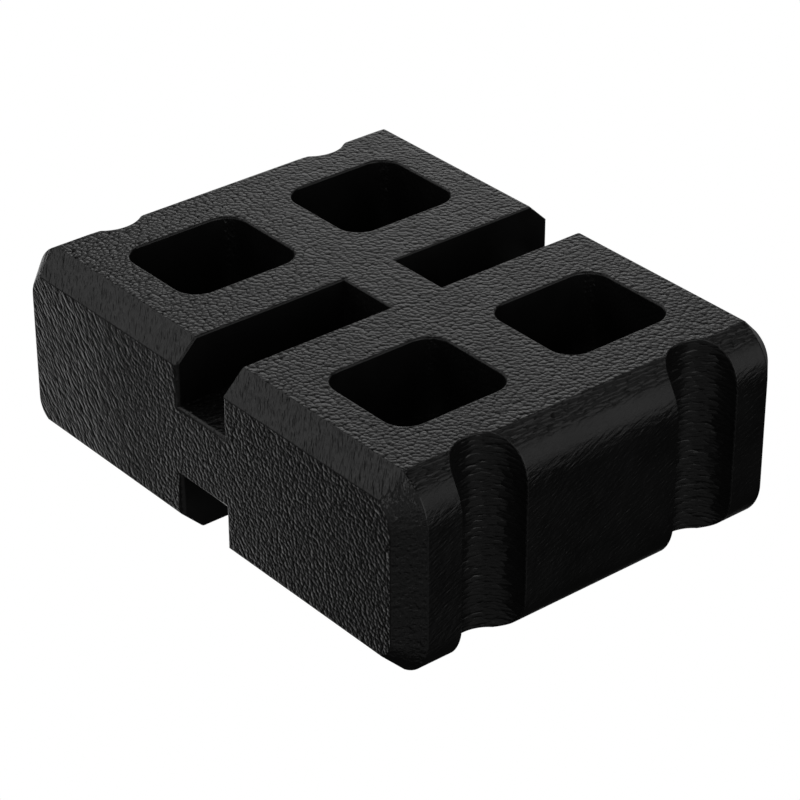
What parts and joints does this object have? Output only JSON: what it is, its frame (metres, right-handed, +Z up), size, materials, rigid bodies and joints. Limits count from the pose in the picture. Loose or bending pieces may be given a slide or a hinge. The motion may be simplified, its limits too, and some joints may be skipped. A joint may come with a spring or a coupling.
{
  "type": "riding mounting block",
  "caption": "Low rectangular moulded step block with rounded square pockets, cross slots above and below, chamfered sides and grooved ends.",
  "frame": {"origin": "centre of the block's footprint, on the surface it stands on", "axes": "+X along the length towards one grooved end, +Y across the block along the slots, +Z up"},
  "size_m": [0.6, 0.46, 0.209],
  "materials": {
    "skin": "coarse pebble grain, satin black, moulded in",
    "foam": "rigid closed-cell foam, cream",
    "plug": "smooth satin black"
  },
  "bodies": {
    "root": {"block_skin": "skin", "foam_core": "foam", "fill_plug": "plug", "vent_plug_1": "plug", "vent_plug_2": "plug", "vent_plug_3": "plug"}
  },
  "joints": []
}
